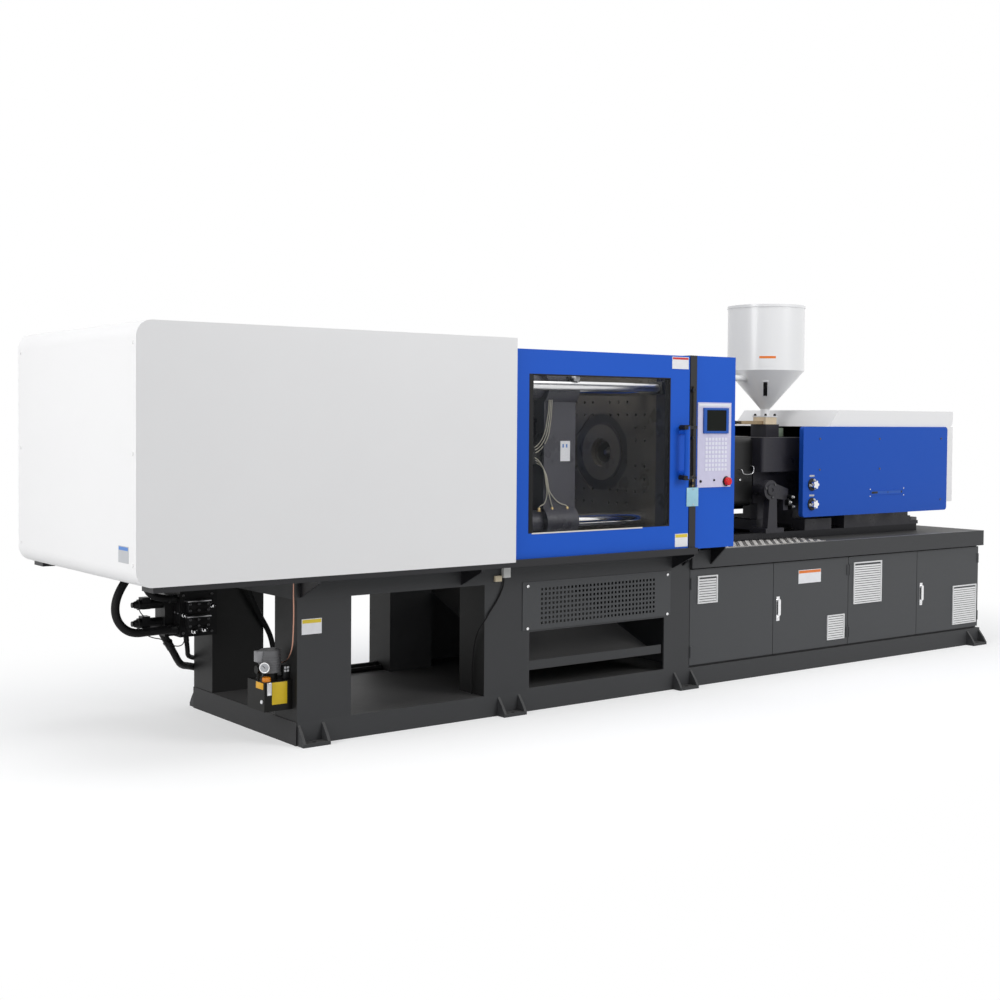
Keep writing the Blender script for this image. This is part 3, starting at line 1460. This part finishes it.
@dataclass
class Hopper(Assembly):
    """Sight window, blank sign, rim, flange bolts and gate knob of the hopper."""

    body: str = "carriage"
    centre: float = 1.045
    looks_at: tuple[float, float] = (-0.752, -0.659)
    sight_height: float = 1.648
    turnings: tuple[Turning, ...] = (
        Turning("hopper_rim", Axis.Z, (1.045, 0.0, 0.0),
                ((2.140, 0.2327), (2.141, 0.2365), (2.1565, 0.2365), (2.1568, 0.2330), (2.1568, 0.2327)),
                Look.HOPPER_WHITE, 72),
        Turning("gate_knob", Axis.X, (0.800, 0.0, 1.4413),
                ((0.0, 0.006), (-0.012, 0.006), (-0.014, 0.010), (-0.026, 0.012), (-0.032, 0.008)),
                Look.BLACK_PLASTIC, body="slide_gate"),
    )
    fixings: tuple[Fixings, ...] = (
        Fixings("flange_bolts", Head.HEXAGON, (0.008, 0.012),
                tuple((x, y, 1.483) for x in (1.003, 1.087) for y in (-0.042, 0.042)), Look.BLACK_PLASTIC,
                Axis.Z, 1),
    )

    def build_others(self) -> None:
        """Builds the sight window and the sign."""
        frame = Bench.block("sight_frame", (-0.019, 0.0, -0.062), (0.019, 0.004, 0.062))
        Bench.sink(frame, facing(Axis.Y, 1), 0.006, 0.0015)
        glass = Bench.block("sight_glass", (-0.0115, 0.002, -0.054), (0.0115, 0.0045, 0.054))
        for piece, edge, look in ((frame, 0.0065, Look.HOPPER_WHITE), (glass, 0.006, Look.SIGHT_DARK)):
            Bench.soften(piece, edge, 3).data.transform(self.on_cone(self.sight_height))
            self.add(piece, look)
        self.build_wrap("hopper_sign", (1.782, 1.846), (-9.5, 15.0), 0.2332, Look.HOPPER_WHITE)
        self.build_wrap("hopper_sign_band", (1.829, 1.843), (-8.5, 14.0), 0.2336, Look.LABEL_ORANGE)

    def on_cone(self, height: float) -> Matrix:
        """Finds the place on the cone that faces the operator's end.

        Args:
            height: Height of the place over the floor.

        Returns:
            Its matrix, with Y outwards and Z up the slope.
        """
        cone_bottom, cone_height, bottom_radius, widening = 1.524, 0.236, 0.028, 0.2045
        out = Vector((*self.looks_at, 0.0)).normalized()
        slope = math.atan2(widening, cone_height)
        radius = bottom_radius + (height - cone_bottom) / cone_height * widening
        normal = out * math.cos(slope) - Vector((0, 0, 1)) * math.sin(slope)
        upward = out * math.sin(slope) + Vector((0, 0, 1)) * math.cos(slope)
        turn = Matrix((normal.cross(upward), normal, upward)).transposed().to_4x4()
        return Matrix.Translation((self.centre + out.x * radius, out.y * radius, height)) @ turn

    def build_wrap(self, name: str, heights: tuple[float, float], angles: tuple[float, float], radius: float,
                   look: Look) -> None:
        """A thin plate wrapped on the cylinder, turned from the side that faces the operator's end.

        Args:
            name: The plate's name.
            heights: Its bottom and top.
            angles: Its left and right edges, in degrees.
            radius: Radius of its outer face.
            look: Its finish.
        """
        middle = math.atan2(self.looks_at[1], self.looks_at[0])
        low, high = (middle + math.radians(angle) for angle in angles)
        shell = Bench.rod(name, Axis.Z, (self.centre, 0.0, sum(heights) / 2), heights[1] - heights[0], radius, 180)
        Bench.pick(shell, lambda centre, normal: abs(normal.z) > 0.5 or not (
            low < math.atan2(centre.y, centre.x - self.centre) < high))
        bpy.ops.mesh.delete(type="FACE")
        Bench.take(shell)
        wall = shell.modifiers.new("wall", "SOLIDIFY")
        wall.thickness = 0.0012
        wall.offset = -1
        bpy.ops.object.modifier_apply(modifier=wall.name)
        bpy.ops.object.shade_smooth_by_angle(angle=SMOOTH_BELOW)
        self.add(shell, look)


@dataclass
class Hydraulics(Assembly):
    """Hoses, fittings, solenoid caps and valves of the clamp end."""

    cords: tuple[Cord, ...] = (
        Cord("loop_hose", (
            (-3.005, 0.290, 0.800), (-3.005, 0.290, 0.726), (-3.085, 0.290, 0.610), (-3.085, 0.290, 0.505),
            (-3.012, 0.290, 0.432), (-2.890, 0.290, 0.438), (-2.770, 0.290, 0.438),
        ), 0.020, 0.650, "hose_loop", fitted=True),
        Cord("upper_hose", (
            (-2.950, 0.290, 0.800), (-2.950, 0.290, 0.660), (-2.885, 0.290, 0.585), (-2.770, 0.290, 0.585),
        ), 0.017, 0.345, "hose_upper", fitted=True),
        Cord("lower_hose", (
            (-2.7733, 0.400, 0.3656), (-2.7373, 0.400, 0.3057), (-2.700, 0.430, 0.255), (-2.650, 0.490, 0.222),
            (-2.590, 0.550, 0.206), (-2.500, 0.572, 0.180), (-2.400, 0.566, 0.152), (-2.290, 0.536, 0.131),
            (-2.180, 0.492, 0.1233), (-2.040, 0.460, 0.1233), (-1.900, 0.444, 0.1233), (-1.780, 0.436, 0.1233),
            (-1.655, 0.440, 0.1233), (-1.533, 0.440, 0.1233),
        ), 0.018, 1.391, "hose_lower", fitted=True),
        Cord("drain_hose", (
            (-2.676, 0.400, 0.400), (-2.668, 0.402, 0.350), (-2.645, 0.440, 0.303), (-2.612, 0.508, 0.264),
            (-2.560, 0.556, 0.242), (-2.470, 0.562, 0.222), (-2.380, 0.556, 0.200), (-2.300, 0.522, 0.165),
            (-2.220, 0.470, 0.128), (-2.120, 0.430, 0.1173), (-1.950, 0.402, 0.1173), (-1.750, 0.392, 0.1173),
            (-1.533, 0.392, 0.1173),
        ), 0.012, 1.343, fitted=True),
        Cord("suction_hose", (
            (-2.420, 0.260, 0.640), (-2.370, 0.275, 0.540), (-2.320, 0.285, 0.455), (-2.289, 0.292, 0.411),
            (-2.257, 0.300, 0.353), (-2.243, 0.300, 0.290), (-2.236, 0.298, 0.200), (-2.236, 0.296, 0.105),
        ), 0.0135, 0.582),
        Cord("coil_lead_1", (
            (-2.930, 0.372, 0.533), (-2.922, 0.372, 0.515), (-2.905, 0.372, 0.500), (-2.893, 0.372, 0.484),
        ), 0.0025, 0.062, stiffness="medium"),
        Cord("coil_lead_2", (
            (-2.905, 0.372, 0.443), (-2.898, 0.372, 0.412), (-2.862, 0.372, 0.392), (-2.807, 0.372, 0.381),
            (-2.755, 0.368, 0.343), (-2.716, 0.356, 0.342), (-2.702, 0.350, 0.372), (-2.700, 0.348, 0.400),
        ), 0.0025, 0.286, stiffness="medium"),
    )
    turnings: tuple[Turning, ...] = tuple(
        Turning(f"coil_cap_{number}", Axis.X, (-2.935, 0.372, height),
                ((0.004, 0.0255), (-0.003, 0.0255), (-0.005, 0.020), (-0.020, 0.0165), (-0.022, 0.0145)),
                Look.VALVE_BLACK, 28) for number, height in ((1, 0.467), (2, 0.557))
    )
    plates: tuple[Plate, ...] = (
        Plate("valve_stack_1", (-2.745, 0.226, 0.446), (-2.628, 0.2625, 0.496), Look.VALVE_BLACK, 0.003,
              rim=(0.008, 0.003)),
        Plate("valve_plate_1", (-2.749, 0.222, 0.496), (-2.624, 0.2625, 0.502), Look.FITTING_STEEL, 0.001),
        Plate("valve_stack_2", (-2.742, 0.226, 0.520), (-2.628, 0.2625, 0.570), Look.VALVE_BLACK, 0.003,
              rim=(0.008, 0.003)),
        Plate("valve_plate_2", (-2.746, 0.222, 0.570), (-2.624, 0.2625, 0.576), Look.FITTING_STEEL, 0.001),
    )
    fixings: tuple[Fixings, ...] = (
        Fixings("port_nuts", Head.HEXAGON, (0.0212, 0.020), (
            (-2.70, 0.34, 0.620), (-2.64, 0.40, 0.620), (-2.745, 0.290, 0.620), (-2.66, 0.288, 0.620)),
            Look.DARK_STEEL, Axis.Z, 1),
    )
    plugs: tuple[tuple[float, float, float], ...] = (
        (-2.705, 0.426, 0.013), (-2.650, 0.431, 0.013), (-2.757, 0.507, 0.010), (-2.608, 0.545, 0.012),
    )

    def build_others(self) -> None:
        """Builds the hoses' fittings, the bolts on the two faces of the valve block and the plugs."""
        made = []
        for cord in self.cords:
            if cord.fitted:
                for end, inner in ((cord.route[0], cord.route[1]), (cord.route[-1], cord.route[-2])):
                    made.append(self.ferrule(Vector(inner) - Vector(end), end, cord.radius))
        self.add(Bench.join("hose_fittings", made), Look.VALVE_BLACK)
        to_operator = [(x, 0.226, z) for x in (-2.735, -2.690, -2.640) for z in (0.456, 0.486, 0.530, 0.560)]
        to_operator += [(x, 0.262, z) for x in (-2.755, -2.605) for z in (0.42, 0.60)]
        to_end = [(-2.770, y, z) for y in (0.276, 0.310) for z in (0.430, 0.515, 0.600)]
        places = turned(Axis.Y, -1, to_operator) + turned(Axis.X, -1, to_end)
        self.add(Bench.copies("valve_bolts", Head.SOCKET.model(0.0065, 0.007), places), Look.DARK_STEEL)
        plugs = [
            Bench.lathe("plug", Axis.Y, (x, 0.262, z), (
                (0.0, radius), (-0.012, radius), (-0.014, radius * 0.8), (-0.034, radius * 0.8),
                (-0.036, radius * 0.5), (-0.046, radius * 0.5)), 6) for x, z, radius in self.plugs
        ]
        self.add(Bench.join("port_plugs", plugs), Look.BRIGHT_CHROME)

    @staticmethod
    def ferrule(direction: Vector, place: Point, radius: float) -> bpy.types.Object:
        """A crimped ferrule with its hexagon, from the hose's end along the hose.

        Args:
            direction: Way that the hose goes there.
            place: Where the hose ends.
            radius: The hose's radius.

        Returns:
            The fitting.
        """
        flats, ring = radius * 1.32, radius * 1.14
        hexagon = Bench.lathe("hexagon", Axis.Z, (0, 0, 0), (
            (0.0, radius * 1.1), (0.001, flats), (0.013, flats), (0.014, radius * 1.1)), 6)
        steps = [(0.0135, radius * 1.02), (0.014, ring)]
        for crimp in range(4):
            start = 0.016 + crimp * 0.006
            steps += [(start, ring), (start + 0.001, ring * 0.96), (start + 0.004, ring * 0.96), (start + 0.005, ring)]
        steps += [(0.043, ring), (0.044, radius * 1.01)]
        whole = Bench.join("fitting", [hexagon, Bench.lathe("sleeve", Axis.Z, (0, 0, 0), tuple(steps), 28)])
        whole.data.transform(aimed(direction, place))
        return whole


@dataclass
class LubeUnit(Assembly):
    """Cap, gauge, cooling rings and blank plates of the lubrication unit."""

    motor: Point = (-2.648, -0.394, 0.0)
    gauge_at: Point = (-2.700, -0.444, 0.352)
    gauge_aim: Point = (-0.72, -0.69, 0.0)
    plates: tuple[Plate, ...] = (
        Plate("terminal_lid", (-2.7172, -0.4115, 0.3705), (-2.6885, -0.3735, 0.4195), Look.LID_GREY, 0.002),
        Plate("lube_plate_front", (-2.679, -0.4722, 0.189), (-2.603, -0.4708, 0.287), Look.PLATE_YELLOW),
        Plate("lube_plate_end", (-2.7182, -0.462, 0.258), (-2.7168, -0.396, 0.287), Look.PLATE_AMBER),
        Plate("level_tube", (-2.707, -0.480, 0.233), (-2.685, -0.4705, 0.289), Look.FITTING_STEEL, 0.002,
              rim=(0.004, 0.002)),
        Plate("junction_block", (-2.608, -0.448, 0.2895), (-2.578, -0.424, 0.352), Look.BLACK_PLASTIC, 0.002),
        *(Plate(f"junction_port_{number}", (x - 0.005, -0.4500, z - 0.005), (x + 0.005, -0.4475, z + 0.005),
                Look.LABEL_WHITE, 0.001)
          for number, x, z in ((1, -2.600, 0.343), (2, -2.586, 0.343), (3, -2.600, 0.329), (4, -2.586, 0.329))),
    )
    turnings: tuple[Turning, ...] = (
        Turning("filler_cap", Axis.Z, (-2.690, -0.440, 0.0), (
            (0.290, 0.0200), (0.294, 0.0200), (0.295, 0.0185), (0.3065, 0.0185), (0.3085, 0.0160),
            (0.3085, 0.006)), Look.CAP_ORANGE),
        Turning("drain_plug", Axis.X, (-2.717, -0.450, 0.203), ((0.0, 0.0085), (-0.004, 0.0085), (-0.006, 0.006)),
                Look.LABEL_WHITE),
    )
    gauge: tuple[Turning, ...] = (
        Turning("pressure_gauge", Axis.Z, (0, 0, 0), (
            (-0.034, 0.008), (-0.012, 0.008), (-0.011, 0.0225), (0.003, 0.0235), (0.006, 0.0235), (0.006, 0.0195),
            (0.003, 0.0190)), Look.BRIGHT_CHROME, 36),
        Turning("gauge_dial", Axis.Z, (0, 0, 0), ((0.0026, 0.0186), (0.0034, 0.0186), (0.0036, 0.0180)),
                Look.LABEL_GREY, 32),
    )
    needle: Plate = Plate("gauge_needle", (-0.0012, -0.004, 0.0035), (0.0012, 0.014, 0.0048), Look.BLACK_PLASTIC,
                          0.0003, 1)

    def build_others(self) -> None:
        """Builds the motor's cooling rings and the gauge, which is turned towards the clamp end."""
        body, ring = 0.0473, 0.0500
        steps = [(0.322, body)]
        for number in range(7):
            base = 0.326 + number * 0.011
            steps += [(base, body), (base, ring), (base + 0.005, ring), (base + 0.005, body)]
        steps += [(0.4205, body), (0.4206, 0.043), (0.4235, 0.040)]
        self.add(Bench.lathe("motor_rings", Axis.Z, self.motor, tuple(steps), 40), Look.MOTOR_GREY)
        for part in (*self.gauge, self.needle):
            piece = part.model()
            piece.data.transform(aimed(self.gauge_aim, self.gauge_at))
            self.add(piece, part.look)


@dataclass
class CableRun(Assembly):
    """The cable under the cover with its gland, and the leg's blank sign."""

    cords: tuple[Cord, ...] = (
        Cord("sensor_cable", (
            (-1.421, -0.518, 0.678), (-1.421, -0.518, 0.645), (-1.437, -0.517, 0.608), (-1.458, -0.516, 0.572),
            (-1.484, -0.516, 0.540), (-1.510, -0.517, 0.510), (-1.537, -0.522, 0.478), (-1.551, -0.495, 0.440),
            (-1.546, -0.455, 0.385), (-1.541, -0.428, 0.290), (-1.541, -0.421, 0.200), (-1.541, -0.421, 0.105),
        ), 0.00375, 0.635, "cover_cable", "medium"),
    )
    turnings: tuple[Turning, ...] = (
        Turning("cable_gland", Axis.Z, (-1.421, -0.518, 0.678),
                ((0.0, 0.0072), (-0.006, 0.0072), (-0.008, 0.0058), (-0.014, 0.0052)), Look.BLACK_PLASTIC, 6),
    )
    plates: tuple[Plate, ...] = (
        Plate("leg_sign", (-2.553, -0.5112, 0.492), (-2.450, -0.5098, 0.561), Look.LABEL_WHITE, steps=1,
              band=(Look.LABEL_YELLOW, 0.28)),
    )


@dataclass
class Studio:
    """Floor, lamps, world and camera.

    A lamp is its name, its place, the point it is aimed at, its width and its power.
    """

    camera_at: Point = (-5.70285, -5.9073, 1.450)
    yaw: float = 36.264
    pitch: float = 1.769
    roll: float = 0.372
    lens: float = 50.84
    shift: tuple[float, float] = (0.0496, -0.0372)
    sky: float = 0.42
    floor_lift: float = 0.42
    lamps: tuple[tuple[str, Point, Point, float, float], ...] = (
        ("key", (-10.5, -1.2, 4.5), (-3.0, 0.0, 1.0), 5.0, 460.0),
        ("fill", (3.4, -8.5, 5.6), (1.6, 0.0, 1.4), 5.0, 420.0),
        ("top", (-0.5, -0.5, 7.5), (-0.5, 0.0, 0.0), 7.0, 200.0),
    )

    def build(self) -> None:
        """Builds the studio."""
        self.build_floor()
        self.build_world()
        self.build_lamps()
        self.build_camera()

    def build_floor(self) -> None:
        """A pale floor that shows the machine's shadow and runs out into plain white."""
        Bench.clear()
        bpy.ops.mesh.primitive_plane_add(size=160, location=(0, 0, 0))
        floor = Bench.settle("studio_floor")
        recipe = Surface("studio_floor")
        tone = recipe.noise(0.7, 2.0, 0.5)
        recipe.finish(Base_Color=recipe.blend(tone, (0.60, 0.60, 0.60), (0.62, 0.62, 0.62)), Roughness=0.9,
                      Specular_IOR_Level=0.0)
        x, y, _ = recipe.parts(recipe.place())
        along = ((x + 0.4).absolute() - 3.0).most(0.0)
        across = (y.absolute() - 0.6).most(0.0)
        far = (along * along + across * across).power(0.5).above(1.3, 1.6)
        shown = recipe.shown()
        plain = Wire(recipe, recipe.shader.outputs[0])
        lift, white = (
            recipe.wire("ShaderNodeEmission", {}, (1.0, 1.0, 1.0), power) for power in (self.floor_lift, 1.0)
        )
        lifted = recipe.wire("ShaderNodeAddShader", {}, plain, lift)
        near = recipe.wire("ShaderNodeMixShader", {}, shown, plain, lifted)
        whole = recipe.node("ShaderNodeMixShader", {}, shown * far, near, white)
        recipe.tree.links.new(whole.outputs[0], recipe.output.inputs[0])
        floor.data.materials.append(recipe.material)

    def build_world(self) -> None:
        """A white backdrop for the camera and for gloss, with softer light on the machine."""
        world = bpy.data.worlds.new("studio")
        bpy.context.scene.world = world
        recipe = Recipe(world)
        plain = recipe.wire("ShaderNodeBackground", {}, (1.0, 1.0, 1.0), 1.0)
        soft = recipe.wire("ShaderNodeBackground", {}, (0.95, 0.97, 1.0), self.sky)
        recipe.node("ShaderNodeOutputWorld", {}, recipe.wire("ShaderNodeMixShader", {}, recipe.shown(), soft, plain))

    def build_lamps(self) -> None:
        """Large soft lamps: a key from the clamp end, a fill from the front and one from above."""
        for name, place, aim, size, power in self.lamps:
            light = bpy.data.lights.new(name, "AREA")
            light.shape = "DISK"
            light.size = size
            light.energy = power
            lamp = bpy.data.objects.new(name, light)
            lamp.location = place
            lamp.rotation_euler = (Vector(aim) - Vector(place)).to_track_quat("-Z", "Y").to_euler()
            bpy.context.scene.collection.objects.link(lamp)

    def build_camera(self) -> None:
        """The camera, at the photograph's viewing angle."""
        yaw, pitch, roll = (math.radians(angle) for angle in (self.yaw, self.pitch, self.roll))
        ahead = Vector((math.sin(yaw) * math.cos(pitch), math.cos(yaw) * math.cos(pitch), -math.sin(pitch)))
        right = Vector((math.cos(yaw), -math.sin(yaw), 0.0))
        upward = right.cross(ahead)
        tilted = right * math.cos(roll) + upward * math.sin(roll)
        lifted = upward * math.cos(roll) - right * math.sin(roll)
        data = bpy.data.cameras.new("camera")
        data.lens = self.lens
        data.sensor_width = 36.0
        data.shift_x, data.shift_y = self.shift
        data.clip_end = 200.0
        camera = bpy.data.objects.new("camera", data)
        turn = Matrix((tilted, lifted, -ahead)).transposed().to_4x4()
        camera.matrix_world = Matrix.Translation(self.camera_at) @ turn
        bpy.context.scene.collection.objects.link(camera)
        bpy.context.scene.camera = camera


def main() -> None:
    """Loads the frame, dresses it, adds the pieces, the studio and the camera."""
    logging.basicConfig(level=logging.INFO, format="%(name)s: %(message)s")
    bpy.ops.object.select_all(action="SELECT")
    bpy.ops.object.delete()
    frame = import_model()
    bpy.context.scene.view_settings.view_transform = "Standard"
    palette = Palette()
    looks = {node: look for look, names in NODE_LOOKS.items() for node in names.split()}
    for name, node in frame["nodes"].items():
        palette.cover(node, looks[name])
    Bench.clear()
    for assembly in (ClampCover, SafetyDoors, LatchPost, OperatorStation, Cabinet, GrilleAndTread, MouldArea,
                     InjectionUnit, Hopper, Hydraulics, LubeUnit, CableRun):
        assembly(palette).build()
    Studio().build()


if __name__ == "__main__":
    main()
